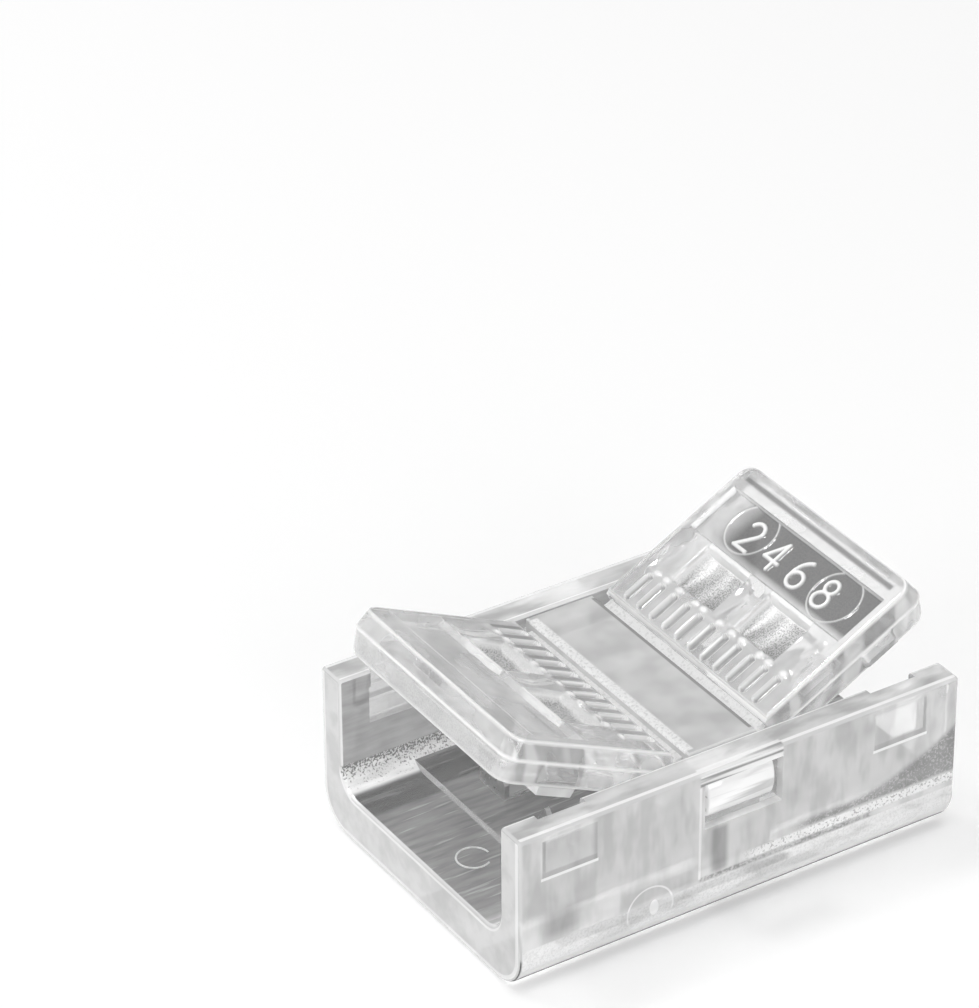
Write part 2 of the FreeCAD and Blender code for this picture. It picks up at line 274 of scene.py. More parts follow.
LOW_SHADE_LINE = (-1.75, 5.5, 0.2), (1.98, 2.06, 0.12)
LEG_HIGHLIGHT = (-1.86, -1.80, 0.04), (2.1, 5.9, 0.1)
LEG_SHADE = (-1.2, -0.8, 0.3), (2.3, 3.9, 0.3)
CORNER_SHADE = (-7.9, -7.3, 0.7), (2.4, 2.9, 0.7)

# the catches show through both walls, as far as this from the middle between them, each window with a painted
# highlight on its sill and painted shade above the sill and at its end

CATCH = (5.9, 8.1, 0.06), (4.68, 6.2, 0.06)
SILL_HIGHLIGHT = (5.85, 8.15, 0.05), (4.60, 4.68, 0.04)
SILL_SHADE, CATCH_END_SHADE = (4.72, 4.88, 0.1), (8.0, 8.1, 0.04)

# the ejector mark's ring and spot on the near wall: the ring is a real mark drawn bright as painted highlight, and
# the spot is a painted highlight

MARK_CENTRE, MARK_RADIUS, MARK_WIDTH = (-3.9, 1.6), 0.95, 0.03
SPOT_CENTRE, SPOT_STRETCH, SPOT_WIDTH = (-6.35, 1.65), 1.7, 0.6


def near_wall_painted_shade(tree, near_wall, x, z, place, grain):
    """Painted shade on the near wall: a broken dark line low down, a dark band that widens upwards towards +x, and
    dark patches by the leg and the left corner.
    """
    broken = ramp(tree, noise(tree, place, 8.0, 3), 0.35, 0.6, 0.3, 1.0)
    low_shade_line = both(tree, patch(tree, x, z, *LOW_SHADE_LINE), broken)
    past = either(tree, calc(tree, "SUBTRACT", x, 4.0), 0.0)
    over = calc(tree, "SUBTRACT", z, scaled(tree, both(tree, past, past), 0.06, 2.85))
    rising = both(tree, ramp(tree, z, 2.48, 2.66), below(tree, over, -0.15, 0.25), ramp(tree, x, 0.8, 3.5),
                  ramp(tree, grain, 0.3, 0.55, 0.55, 1.0))
    leg, corner = patch(tree, x, z, *LEG_SHADE), patch(tree, x, z, *CORNER_SHADE)
    weights = ((low_shade_line, 0.75), (rising, 0.75), (leg, 0.6), (corner, 0.6))
    return both(tree, near_wall, either(tree, *(calc(tree, "MULTIPLY", mask, weight) for mask, weight in weights)))


def near_wall_painted_highlights(tree, near_wall, x, z):
    """Painted highlights on the near wall: a bright line along the leg's side, the ejector mark's ring drawn bright,
    and a bright dot inside the ring.
    """
    leg_highlight = calc(tree, "MULTIPLY", patch(tree, x, z, *LEG_HIGHLIGHT), 0.7)
    ring = both(tree, ring_line(tree, x, z, MARK_CENTRE, MARK_RADIUS, MARK_WIDTH), ramp(tree, z, 1.2, 1.5))
    spot_highlight = ring_line(tree, calc(tree, "MULTIPLY", x, SPOT_STRETCH), z, SPOT_CENTRE, 0.0, SPOT_WIDTH)
    return both(tree, near_wall, either(tree, leg_highlight, calc(tree, "MULTIPLY", ring, 0.8), spot_highlight))


def tray_material():
    material, tree = new_material("clear_tray")
    place = place_mm(tree)
    x, y, z = split(tree, place)
    normal = add(tree, "ShaderNodeNewGeometry").outputs["Normal"]
    nx, ny, nz = split(tree, normal)
    wide, far_out = size(tree, y), size(tree, x)
    # painted highlight: rounded edges are drawn near white
    edge_highlight = edge_mask(tree, normal)
    clouds = noise(tree, place, 0.42)
    patches = noise(tree, place, 1.1, 3, (0.35, 1, 1))
    drifts = ramp(tree, noise(tree, place, 1.5, 2, (1, 1, 0.3)), 0.36, 0.62, 0.86, 1.1)
    streaks = noise(tree, place, 3.6, 4, (0.16, 1, 1))
    scratches = ramp(tree, noise(tree, place, 5.2, 2, (0.08, 1, 1)), 0.60, 0.70)
    grain = noise(tree, place, 13.0, 3)

    # inside the channel, where the floor and inner walls are drawn dark as painted shade
    floor = both(tree, between(tree, y, -5.22, 5.22, 0.03), between(tree, z, 1.8, 2.7, 0.1),
                 ramp(tree, nz, 0.7, 0.95))
    far_fillet = both(tree, between(tree, y, 4.65, 5.3, 0.1), between(tree, z, 1.8, 2.95, 0.1),
                      between(tree, nz, 0.1, 0.86, 0.08))
    far_shade = both(tree, floor, between(tree, y, 3.4, 4.7, 0.5))
    inner_wall = both(tree, between(tree, y, -5.3, 5.3, 0.03), below(tree, ny, -0.95, -0.8))

    # side walls
    outer_wall = ramp(tree, wide, 6.1, 6.2)
    near_wall = below(tree, y, -6.2, -6.1)
    slab = both(tree, outer_wall, below(tree, z, SLAB_TOP - 0.05, SLAB_TOP + 0.05))
    # painted light: a bright grainy band low on the near wall
    grainy_painted_light = both(tree, near_wall, between(tree, z, 2.2, 2.45, 0.12), ramp(tree, x, -0.3, 1.0))
    # the lip over the lug's window, drawn with painted highlight streaks
    lip = both(tree, near_wall, between(tree, x, -1.8, 1.6, 0.1), ramp(tree, z, 5.95, 6.0))
    catch_x = size(tree, calc(tree, "ADD", x, CATCH_SHIFT))
    catch = both(tree, outer_wall, patch(tree, catch_x, z, *CATCH))
    # painted highlight: a bright line along each catch window's sill
    sill_highlight = both(tree, outer_wall, patch(tree, catch_x, z, *SILL_HIGHLIGHT))
    # painted shade in each catch window, above its sill and at its end
    sill_shade = both(tree, catch, either(tree, between(tree, z, *SILL_SHADE), between(tree, catch_x, *CATCH_END_SHADE)))
    # painted highlight: bright lines on the catch windows' sills and on the near wall
    lines = either(tree, sill_highlight, near_wall_painted_highlights(tree, near_wall, x, z))
    # painted shade: dark marks on the near wall and in the catch windows
    painted_wall_shade = either(tree, near_wall_painted_shade(tree, near_wall, x, z, place, grain),
                    calc(tree, "MULTIPLY", sill_shade, 0.5))

    # ends, rim and underside
    top_face = both(tree, ramp(tree, nz, 0.8, 0.95), ramp(tree, z, 5.3, 5.4))
    # painted highlight: bright lines along the top face's outer and inner edges
    rim_highlights = both(tree, top_face, either(tree, ramp(tree, wide, 6.22, 6.28), below(tree, wide, 5.38, 5.44)))
    end_face = both(tree, ramp(tree, size(tree, nx), 0.8, 0.95), ramp(tree, far_out, 9.1, 9.2))
    channel = corner_reach(tree, y, z, CHANNEL_HALF, CHANNEL_FLOOR, INNER_CORNER)
    outline = corner_reach(tree, y, z, TRAY_HALF, 0.0, OUTER_CORNER)
    # painted highlight: bright lines on the end faces round the channel and along the outline
    end_highlights = both(tree, end_face,
                     either(tree, below(tree, channel, 0.08, 0.14), ramp(tree, outline, -0.30, -0.24)))
    away = either(tree, ramp(tree, y, -0.5, 0.5), below(tree, z, 1.4, 1.7))
    end_rims = both(tree, ramp(tree, far_out, 9.16, 9.24), ramp(tree, outline, -0.07, -0.03), away)
    bottom_line = both(tree, between(tree, nz, -0.85, -0.64, 0.08), below(tree, z, 0.7, 0.8),
                       below(tree, y, -4.9, -4.7))
    # painted shade: a black, glossless outline along the end faces' rims and the near wall's lower rounding
    painted_outline_shade = either(tree, end_rims, bottom_line)

    # painted shade: the channel floor is drawn dark with real streaks and scratches, halved in a band towards the far
    # wall and lighter towards the near wall
    floor_shade_and_scratches = calc(tree, "ADD", scaled(tree, streaks, 0.3, 0.07), calc(tree, "MULTIPLY", scratches, 0.15))
    floor_shade_and_scratches = both(tree, floor_shade_and_scratches, ramp(tree, far_shade, 0.0, 1.0, 1.0, 0.5))
    floor_shade_and_scratches = calc(tree, "ADD", floor_shade_and_scratches, ramp(tree, y, -4.9, -3.4, 0.3, 0.0))
    specks = ramp(tree, calc(tree, "ADD", grain, scaled(tree, z, -0.3, 0.69)), 0.33, 0.48, 0.25, 1.0)
    tone = layered(
        tree, scaled(tree, clouds, 0.3, 0.66),
        (outer_wall, both(tree, drifts, scaled(tree, clouds, 0.5, 0.6))),
        (slab, both(tree, ramp(tree, grain, 0.3, 0.6, 0.84, 1.0), ramp(tree, patches, 0.36, 0.56, 0.74, 1.0))),
        (top_face, ramp(tree, patches, 0.34, 0.62, 0.5, 0.98)),
        (rim_highlights, 1.0),
        (inner_wall, scaled(tree, streaks, 0.35, 0.22)),
        (floor, floor_shade_and_scratches),
        (edge_highlight, 0.98),
        (lip, ramp(tree, noise(tree, place, 5.0, 1, (0.04, 1, 1)), 0.38, 0.58, 0.3, 1.0)),
        (grainy_painted_light, ramp(tree, grain, 0.34, 0.5, 0.45, 1.0)),
        (painted_wall_shade, 0.12),
        (lines, 1.0),
        (far_fillet, both(tree, specks, scaled(tree, streaks, 0.8, 0.5))),
        (end_face, ramp(tree, patches, 0.34, 0.62, 0.68, 0.8)),
        (end_highlights, 1.0),
        (painted_outline_shade, 0.03))
    clear = layered(
        tree, scaled(tree, clouds, 0.4, 0.6),
        (outer_wall, scaled(tree, clouds, 0.9, 0.02)),
        (catch, 0.6),
        (top_face, scaled(tree, patches, 0.9, -0.05)),
        (rim_highlights, 0.2),
        (either(tree, lip, grainy_painted_light, calc(tree, "MULTIPLY", slab, 0.8)), 0.25),
        (either(tree, painted_wall_shade, lines), 0.2),
        (end_face, 0.25),
        (inner_wall, 0.55),
        (floor, 0.4),
        (edge_highlight, 0.5),
        (far_fillet, 0.25),
        (painted_outline_shade, 0.05))
    rough = blend(tree, floor, 0.04, 0.2)
    height = calc(tree, "ADD", calc(tree, "MULTIPLY", streaks, 0.3), both(tree, scratches, floor))
    plastic(tree, tone, clear, rough, bump(tree, height, SHALLOW, 0.4), blend(tree, painted_outline_shade, USUAL_GLOSS, 0.0))
    return material


# other materials

def cover_material():
    material, tree = new_material("clear_cover")
    place = place_mm(tree)
    x, y, z = split(tree, place)
    normal = add(tree, "ShaderNodeNewGeometry").outputs["Normal"]
    # painted highlight: rounded edges are drawn near white
    edge_highlight = edge_mask(tree, normal)
    clouds = noise(tree, place, 0.55)
    grain = noise(tree, place, 9.0, 3)
    # painted highlights: mottled bright and dark patches on the plate
    mottled_highlights = ramp(tree, noise(tree, place, 0.9, 1), 0.3, 0.7, -0.08, 0.08)
    on_top = both(tree, ramp(tree, z, 6.3, 6.35), between(tree, y, -4.9, 4.9, 0.1))
    frosted = both(tree, on_top, below(tree, x, -1.15, -1.05))
    # painted shade: the plate's top is drawn dark beyond x = 1.25 mm
    right_end_shade = both(tree, on_top, ramp(tree, x, 1.22, 1.28))
    # painted highlight and shade: horizontal streaks on the lug's rounded front
    lug = ramp(tree, size(tree, y), 5.6, 5.9)
    tone = layered(
        tree, calc(tree, "ADD", scaled(tree, clouds, 0.35, 0.56), mottled_highlights),
        (lug, ramp(tree, noise(tree, place, 3.2, 2, (0.05, 0.2, 1)), 0.36, 0.5, 0.45, 1.0)),
        (edge_highlight, 0.98),
        (frosted, ramp(tree, grain, 0.3, 0.55, 0.72, 1.0)),
        (right_end_shade, 0.35))
    clear = layered(
        tree, scaled(tree, clouds, 0.5, 0.2),
        (edge_highlight, 0.5),
        (either(tree, frosted, lug), 0.25))
    height = both(tree, grain, scaled(tree, frosted, 0.9, 0.05))
    plastic(tree, tone, clear, 0.06, bump(tree, height, SHALLOW, 0.5))
    return material


def flap_material():
    """The mesh's own marks say where it has painted shade, where it is whitened for milkiness and painted highlight,
    and where it is grainy.
    """
    material, tree = new_material("clear_flap")
    place = place_mm(tree)
    painted_shade, milky_highlight, grainy, side = (add(tree, "ShaderNodeAttribute", attribute_name=name).outputs["Fac"]
                                for name in ("painted_shade", "milky_highlight", "grain", "side"))
    # painted light and shade: bright and dark blocks along the flap's sides
    side_light_and_shade = ramp(tree, noise(tree, place, 1.1, 1, (1, 0.12, 0.25)), 0.42, 0.56)
    clouds = noise(tree, place, 0.5)
    grain = noise(tree, place, 18.0, 3)
    tone = layered(
        tree, scaled(tree, clouds, 0.3, 0.74),
        (side, scaled(tree, side_light_and_shade, 0.45, 0.53)),
        (grainy, ramp(tree, grain, 0.34, 0.64, 0.3, 0.85)),
        (painted_shade, scaled(tree, grain, 0.12, 0.06)),
        (milky_highlight, 0.99))
    clear = layered(
        tree, scaled(tree, clouds, 0.9, 0.28),
        (grainy, 0.45),
        (painted_shade, 0.15),
        (milky_highlight, 0.2))
    rough = blend(tree, grainy, 0.03, 0.25)
    height = both(tree, grain, scaled(tree, grainy, 0.95, 0.05))
    plastic(tree, tone, clear, rough, bump(tree, height, DEEPER, 0.5))
    return material


def film_material():
    material, tree = new_material("frosted_film")
    grain = noise(tree, place_mm(tree), 8.0, 3)
    tone = ramp(tree, grain, 0.3, 0.55, 0.7, 1.0)
    plastic(tree, tone, scaled(tree, grain, 0.3, 0.25), 0.2, bump(tree, grain, DEEPER, 0.6))
    return material


def metal_material():
    material, tree = new_material("tinned_metal")
    lines = noise(tree, place_mm(tree), 6.0, 2, (0.08, 1, 1))
    body = add(tree, "ShaderNodeBsdfPrincipled")
    body.inputs["Metallic"].default_value = 1.0
    tree.links.new(grey(tree, scaled(tree, lines, 0.2, 0.62)), body.inputs["Base Color"])
    tree.links.new(scaled(tree, lines, 0.2, 0.2), body.inputs["Roughness"])
    tree.links.new(bump(tree, lines, SHALLOW, 0.4), body.inputs["Normal"])
    tree.links.new(body.outputs[0], add(tree, "ShaderNodeOutputMaterial").inputs["Surface"])
    return material


def dress(node, material):
    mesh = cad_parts[node].data
    mesh.materials.clear()
    mesh.materials.append(material)


# pieces

def make_piece(name, points, faces, material, sharp=38):
    """A mesh object from points in millimetres."""
    mesh = bpy.data.meshes.new(name)
    mesh.from_pydata((np.asarray(points) * MM).tolist(), [], faces)
    mesh.polygons.foreach_set("use_smooth", [True] * len(mesh.polygons))
    mesh.set_sharp_from_angle(angle=math.radians(sharp))
    mesh.materials.append(material)
    piece = bpy.data.objects.new(name, mesh)
    bpy.context.scene.collection.objects.link(piece)
    return piece


def reversed_faces(faces):
    return [face[::-1] for face in faces]


def tube_faces(rings, count):
    """Faces of closed rings of count points each, one after another, with both ends capped."""
    faces = []
    for i in range(rings - 1):
        for k in range(count):
            m = (k + 1) % count
            faces.append((i * count + k, i * count + m, (i + 1) * count + m, (i + 1) * count + k))
    faces.append(tuple(range(count))[::-1])
    faces.append(tuple((rings - 1) * count + k for k in range(count)))
    return faces


# flaps, in millimetres, in a frame whose origin is on the hinge line: x outwards, z up

TOP, PARTING, UNDER = 0.45, -0.30, -1.30
HINGE_EDGE, TOP_START, TOP_END, END = 0.35, 0.50, 7.55, 7.70
TOP_HALF, HALF, UNDER_HALF, UNDER_END = 4.97, 5.12, 4.92, 7.50
CORNER = 0.6
OPEN_ANGLE = {"left": 25.0, "right": 28.0}
HINGE_X, HINGE_Z = 1.75, 6.0
COMB_START, COMB_END, COMB_PITCH, COMB_COUNT = 0.62, 1.95, 0.8, 11
GROOVE_RADIUS, GROOVE_DEPTH = 0.2, 0.24
KNOB_X, KNOB_LONG, KNOB_WIDE, KNOB_HEIGHT = 2.12, 0.17, 0.26, 0.05
CORE_START, CORE_END, CORE_CENTRE, CORE_HALF = 2.25, 4.10, 1.9, 1.28
PANEL_START, PANEL_END, PANEL_HALF, PANEL_DEPTH = 4.25, 6.50, 4.57, 0.25
RING_CENTRES, RING_RADIUS = ((5.5, -2.7), (5.6, 2.5)), 1.08
DIGIT_LINE, DIGIT_WIDTH, DIGIT_HEIGHT = 5.40, 0.14, 0.08
POST_START, POST_END, POST_CENTRE, POST_HALF, POST_DROP = 2.30, 4.05, 1.9, 1.25, 1.2
SNAP_START, SNAP_END, SNAP_REACH = 4.5, 6.0, 0.24
GRID_ALONG = [(0.5, 2.2, 0.045), (2.2, 4.2, 0.06), (4.2, 6.55, 0.04), (6.55, 7.0, 0.06), (7.0, 7.55, 0.04)]
GRID_ACROSS = 232


def soft_box(x, y, low_x, high_x, low_y, high_y, soft):
    """1 inside a rectangle, 0 outside, with a smooth wall soft mm wide."""
    inner = np.minimum(np.clip((x - low_x) / soft, 0, 1), np.clip((high_x - x) / soft, 0, 1))
    inner = np.minimum(inner, np.clip((y - low_y) / soft, 0, 1))
    inner = np.minimum(inner, np.clip((high_y - y) / soft, 0, 1))
    return inner * inner * (3 - 2 * inner)


def line_mask(reach, width):
    return np.clip((width / 2 + 0.03 - reach) / 0.05, 0, 1)


def path_distance(x, y, points):
    near = np.full(x.shape, 1e9)
    for (ax, ay), (bx, by) in zip(points, points[1:]):
        dx, dy = bx - ax, by - ay
        along = np.clip(((x - ax) * dx + (y - ay) * dy) / max(dx * dx + dy * dy, 1e-12), 0, 1)
        near = np.minimum(near, np.hypot(x - ax - along * dx, y - ay - along * dy))
    return near


def arc(centre, half_wide, half_high, start, end, count=24):
    """Points on an oval from start to end, in degrees."""
    angles = np.radians(np.linspace(start, end, count + 1))
    return [(centre[0] + half_wide * math.cos(a), centre[1] + half_high * math.sin(a)) for a in angles]


def plain_numbers():
    """The numbers 2, 4, 6 and 8, as lines in a frame with u across and v up."""
    two = arc((0, 0.30), 0.33, 0.32, 160, -35) + [(-0.34, -0.60), (0.36, -0.60)]
    four = [(0.16, -0.62), (0.16, 0.62), (-0.38, -0.24), (0.40, -0.24)]
    six = arc((0.25, -0.10), 0.60, 0.74, 105, 180) + arc((0, -0.28), 0.35, 0.34, 180, -180)
    upper = arc((0, 0.32), 0.28, 0.28, -90, 270)
    lower = arc((0, -0.29), 0.35, 0.33, 90, 450)
    lines = [(-2.30, two), (-0.78, four), (0.75, six), (2.28, upper), (2.28, lower)]
    return [[(u + shift, v) for u, v in line] for shift, line in lines]


def outer_face(x, y, numbered):
    """Depth of the outer face below TOP, and where it has painted shade, where it is whitened for milkiness and
    painted highlight, and where it is grainy.
    """
    depth, painted_shade, milky_highlight, grain = (np.zeros(x.shape) for _ in range(4))
    for step in range(COMB_COUNT):
        centre = (step - (COMB_COUNT - 1) / 2) * COMB_PITCH
        near = np.hypot(np.clip(x, COMB_START + GROOVE_RADIUS, COMB_END - GROOVE_RADIUS) - x, y - centre)
        depth += GROOVE_DEPTH * np.clip((GROOVE_RADIUS - near) / 0.08, 0, 1)
        # painted shade in each groove, deeper on the left flap
        painted_shade = np.maximum(painted_shade, (0.55 if numbered else 0.8) * np.clip((0.18 - near) / 0.04, 0, 1))
        # painted highlight: a whitened rim round each groove
        milky_highlight = np.maximum(milky_highlight, np.clip(1.3 - np.abs(near - 0.19) / 0.035, 0, 1))
        # painted shade: dark stripes beside the left flap's grooves
        if not numbered:
            painted_shade = np.maximum(painted_shade, 0.7 * soft_box(x, y, COMB_START, 2.1, centre + 0.24, centre + 0.54, 0.06))
        knob = np.hypot((x - KNOB_X) / KNOB_LONG, (y - centre - 0.15 * math.sin(2.4 * step)) / KNOB_WIDE)
        knob = np.clip(1.6 * (1 - knob), 0, 1)
        depth -= KNOB_HEIGHT * knob
        milky_highlight = np.maximum(milky_highlight, knob)
    waves = soft_box(x, y, 1.98, 4.2, -4.6, 4.6, 0.3)
    depth += waves * 0.03 * (1 + np.sin(y * 5.2 + 0.8 * np.sin(x * 2.3)))
    for side in (-1, 1):
        middle = side * CORE_CENTRE
        low, high = middle - CORE_HALF, middle + CORE_HALF
        core = soft_box(x, y, CORE_START, CORE_END, low, high, 0.16)
        hollow = np.sqrt(np.clip(1 - ((y - middle) / (CORE_HALF + 0.15)) ** 2, 0, 1))
        depth += core * (0.24 + 0.26 * hollow)
        # painted highlight: on the right flap each core gleams towards +y and its free end
        gleam = np.clip((y - middle) / CORE_HALF * 0.5 + (x - CORE_START) / 1.9 - 0.55, 0, 1) if numbered else 0
        grain = np.maximum(grain, np.clip(core * (1.5 - gleam), 0, 1))
        milky_highlight = np.maximum(milky_highlight, 0.8 * gleam * (core > 0.9))
        # painted shade across each core, darkest at its hinge end and deeper on the right flap
        core_shade = (0.6 if numbered else 0.2) * np.clip(1 - 0.8 * (x - CORE_START), 0, 1)
        painted_shade = np.maximum(painted_shade, (core > 0.9) * core_shade)
        # painted highlight round each core's border and at its free end
        milky_highlight = np.maximum(milky_highlight, 0.9 * np.clip(1.3 - np.abs(core - 0.5) / 0.4, 0, 1))
        milky_highlight = np.maximum(milky_highlight, soft_box(x, y, CORE_END - 0.22, CORE_END + 0.2, low, high, 0.1))
    panel = soft_box(x, y, PANEL_START, PANEL_END, -PANEL_HALF, PANEL_HALF, 0.08)
    depth += PANEL_DEPTH * panel
    # painted highlight round the panel's border
    milky_highlight = np.maximum(milky_highlight, 0.6 * np.clip(1.2 - np.abs(panel - 0.5) / 0.3, 0, 1))
    # painted shade: the panel is drawn dark on the right flap, lighter towards +y and at its hinge end, and barely on
    # the left
    faded = np.clip((4.3 - y) / 1.6, 0.25, 1) * np.clip((x - PANEL_START) / 0.4, 0.3, 1)
    painted_shade = np.maximum(painted_shade, (0.95 * faded if numbered else 0.06) * (panel > 0.85))
    # painted shade: a dark band across the top near the free end, deep on the right flap and faint on the left
    rim_shade = soft_box(x, y, 6.80, 7.15, -4.5, 4.5, 0.12)
    painted_shade = np.maximum(painted_shade, (0.85 if numbered else 0.1) * rim_shade)
    if numbered:
        rings = [np.abs(np.hypot(x - u, y - v) - RING_RADIUS) for u, v in RING_CENTRES]
        rings = line_mask(np.minimum(*rings), 0.05) * (panel > 0.95)
        digits = np.zeros(x.shape)
        for line in plain_numbers():
            placed = [(DIGIT_LINE + v, -u) for u, v in line]
            digits = np.maximum(digits, line_mask(path_distance(x, y, placed), DIGIT_WIDTH))
        digits = digits * (panel > 0.95)
        depth -= 0.03 * rings + DIGIT_HEIGHT * digits
        milky_highlight = np.maximum(milky_highlight, np.maximum(0.7 * rings, digits))
    return depth, painted_shade, milky_highlight, grain


def press_posts(x, y):
    """How far the underside's two posts reach below UNDER."""
    middles = [side * POST_CENTRE for side in (-1, 1)]
    posts = [soft_box(x, y, POST_START, POST_END, middle - POST_HALF, middle + POST_HALF, 0.07) for middle in middles]
    return POST_DROP * (posts[0] + posts[1])


def grid_lines(parts):
    """Positions from the first to the last, each stretch cut at about its own step."""
    values = [parts[0][0]]
    for low, high, step in parts:
        count = max(1, round((high - low) / step))
        values += [low + (high - low) * i / count for i in range(1, count + 1)]
    return np.array(values)


def plan(along, across, low, high, half):
    """Map a unit grid onto an outline whose two free-end corners are rounded off."""
    x = low + (high - low) * along
    into = np.clip(x - (high - CORNER), 0, CORNER)
    return x, across * (half - (CORNER - np.sqrt(CORNER ** 2 - into ** 2)))


def flap_levels():
    """Start, end, half-width and height of each ring down the flap's side, and how much it is whitened for milkiness
    and painted highlight.
    """
    return [
        (TOP_START + 0.03, TOP_END - 0.05, TOP_HALF - 0.05, TOP - 0.012, 0.6),
        (TOP_START + 0.01, TOP_END - 0.01, TOP_HALF - 0.01, TOP - 0.04, 1.0),
        (TOP_START, TOP_END, TOP_HALF, TOP - 0.09, 0.6),
        (HINGE_EDGE, TOP_END + 0.025, TOP_HALF + 0.025, 0.28, 0.0),
        (HINGE_EDGE, END - 0.03, HALF - 0.03, PARTING + 0.10, 0.0),
        (HINGE_EDGE, END, HALF, PARTING + 0.02, 1.0),
        (HINGE_EDGE, END, HALF, PARTING - 0.02, 1.0),
        (HINGE_EDGE, END - 0.03, HALF - 0.02, PARTING - 0.10, 0.0),
        (HINGE_EDGE, END - 0.07, HALF - 0.07, -0.60, 0.0),
        (HINGE_EDGE, END - 0.10, HALF - 0.10, -0.80, 0.0),
        (HINGE_EDGE, END - 0.15, HALF - 0.15, -1.10, 0.0),
        (HINGE_EDGE, UNDER_END, UNDER_HALF, UNDER + 0.09, 0.5),
        (HINGE_EDGE + 0.01, UNDER_END - 0.01, UNDER_HALF - 0.01, UNDER + 0.04, 0.8),
        (HINGE_EDGE + 0.03, UNDER_END - 0.04, UNDER_HALF - 0.04, UNDER + 0.01, 0.4),
    ]


def sheet(first, rows, columns, turned):
    """Faces of a grid of points that starts at point number first."""
    faces = []
    for r in range(rows - 1):
        for c in range(columns - 1):
            a = first + r * columns + c
            face = (a, a + columns, a + columns + 1, a + 1)
            faces.append(face[::-1] if turned else face)
    return faces


def make_flap(side, material):
    """Outer face, rings down the side and underside, all from one grid."""
    sign = 1 if side == "right" else -1
    along = (grid_lines(GRID_ALONG) - TOP_START) / (TOP_END - TOP_START)
    across = np.linspace(-1, 1, GRID_ACROSS)
    rows, columns = len(along), len(across)
    grid_along, grid_across = np.meshgrid(along, across, indexing="ij")
    top_x, top_y = plan(grid_along, grid_across, TOP_START + 0.07, TOP_END - 0.08, TOP_HALF - 0.08)
    depth, painted_shade, milky_highlight, grain = outer_face(top_x, top_y, side == "right")
    under_x, under_y = plan(grid_along, grid_across, HINGE_EDGE + 0.07, UNDER_END - 0.08, UNDER_HALF - 0.08)

    border = [(0, c) for c in range(columns)] + [(r, columns - 1) for r in range(1, rows)]
    border += [(rows - 1, c) for c in range(columns - 2, -1, -1)] + [(r, 0) for r in range(rows - 2, 0, -1)]
    edge_along = np.array([along[r] for r, c in border])
    edge_across = np.array([across[c] for r, c in border])
    at_side, at_end = np.abs(edge_across) > 0.999, edge_along > 0.999
    points = [np.stack([top_x, top_y, TOP - depth], -1).reshape(-1, 3)]
    highlight_values, grainy, shade_values, sides = [milky_highlight.ravel()], [grain.ravel()], [painted_shade.ravel()], [np.zeros(painted_shade.size)]
    for low, high, half, height, highlight_here in flap_levels():
        x, y = plan(edge_along, edge_across, low, high, half)
        snap = np.clip(np.minimum(height + 1.10, -0.30 - height) / 0.30, 0, 1)
        snap = snap * np.clip(np.minimum(x - SNAP_START, SNAP_END - x) / 0.05, 0, 1)
        outward = np.where(at_side, snap * (HALF + SNAP_REACH - half), 0.0)
        points.append(np.stack([x, y + np.sign(y) * outward, np.full(x.shape, height)], -1))
        highlight_values.append(np.full(x.shape, highlight_here))
        grainy.append(np.full(x.shape, 0.4 if height < -0.55 else 0.0) * at_end)
        shade_values.append(np.zeros(x.shape))
        sides.append(np.where(at_side, 1.0 if UNDER + 0.1 < height < 0.3 else 0.0, 0.0))
    points.append(np.stack([under_x, under_y, UNDER - press_posts(under_x, under_y)], -1).reshape(-1, 3))
    for values in (highlight_values, grainy, shade_values, sides):
        values.append(np.zeros(rows * columns))

    count, rings = len(border), len(flap_levels())
    base = rows * columns + rings * count
    loops = [[r * columns + c for r, c in border]]
    loops += [[rows * columns + i * count + k for k in range(count)] for i in range(rings)]
    loops.append([base + r * columns + c for r, c in border])
    faces = sheet(0, rows, columns, False) + sheet(base, rows, columns, True)
    for upper, lower in zip(loops, loops[1:]):
        faces += [(upper[k], upper[(k + 1) % count], lower[(k + 1) % count], lower[k]) for k in range(count)]

    turn = math.radians(OPEN_ANGLE[side])
    x, y, z = np.concatenate(points).T
    outwards = HINGE_X + x * math.cos(turn) - z * math.sin(turn)
    upwards = HINGE_Z + x * math.sin(turn) + z * math.cos(turn)
    swung = np.stack([sign * outwards, y, upwards], -1)
    piece = make_piece(side + "_flap_moulding", swung, faces if sign > 0 else reversed_faces(faces), material)
    for name, values in (("milky_highlight", highlight_values), ("grain", grainy), ("painted_shade", shade_values), ("side", sides)):
        attribute = piece.data.attributes.new(name, "FLOAT", "POINT")
        attribute.data.foreach_set("value", np.concatenate(values).astype(np.float32))
    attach(piece, side + "_flap")
    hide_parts(side + "_flap")


# hinge films

FILM_BACK, FILM_REACH, FILM_HALF, FILM_THICK = 0.31, 0.34, 4.77, 0.24
FILM_STEPS, FILM_POINTS = 14, 60


def film_faces(steps, count):
    faces = []
    for i in range(steps):
        for face in (0, 1):
            for k in range(count - 1):
                a = (2 * i + face) * count + k
                quad = (a, a + 1, a + 2 * count + 1, a + 2 * count)
                faces.append(quad if face else quad[::-1])
        for k in (0, count - 1):
            a = 2 * i * count + k
            quad = (a, a + count, a + 3 * count, a + 2 * count)
            faces.append(quad if k else quad[::-1])
    for i in (0, steps):
        for k in range(count - 1):
            a = 2 * i * count + k
            quad = (a, a + 1, a + count + 1, a + count)
            faces.append(quad[::-1] if i else quad)
    return faces


